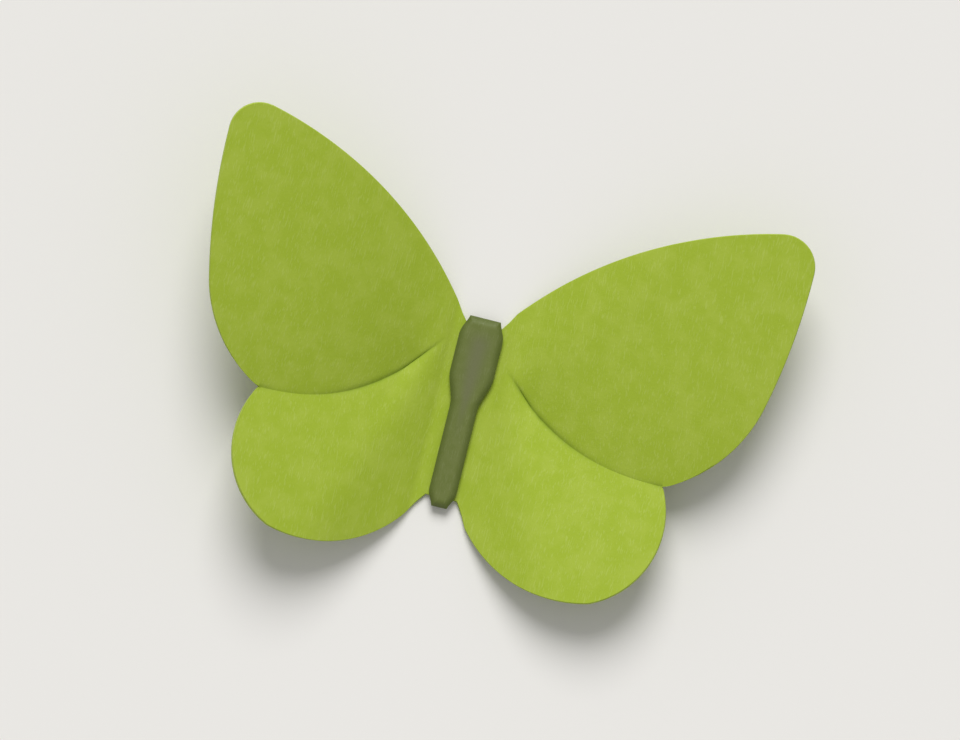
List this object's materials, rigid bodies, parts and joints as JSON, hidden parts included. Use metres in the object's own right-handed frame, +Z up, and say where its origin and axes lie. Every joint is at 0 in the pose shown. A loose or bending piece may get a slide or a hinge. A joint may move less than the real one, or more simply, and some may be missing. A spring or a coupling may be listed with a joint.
{
  "type": "folded paper butterfly",
  "caption": "Butterfly of cut and folded green card with raised creased wings and a dark glued body strip, for a picture or card.",
  "frame": {"origin": "on the face that is glued down, under the middle of the body", "axes": "+X across the wings to the butterfly's right wing as seen from above with the head up, +Y along the body to the head, +Z up from the glued face"},
  "size_m": [0.0376, 0.0258, 0.0077],
  "materials": {
    "green_card": "matte, lightly textured",
    "dark_card": "matte"
  },
  "bodies": {
    "root": {"wings": "green_card", "body_strip": "dark_card"}
  },
  "joints": []
}
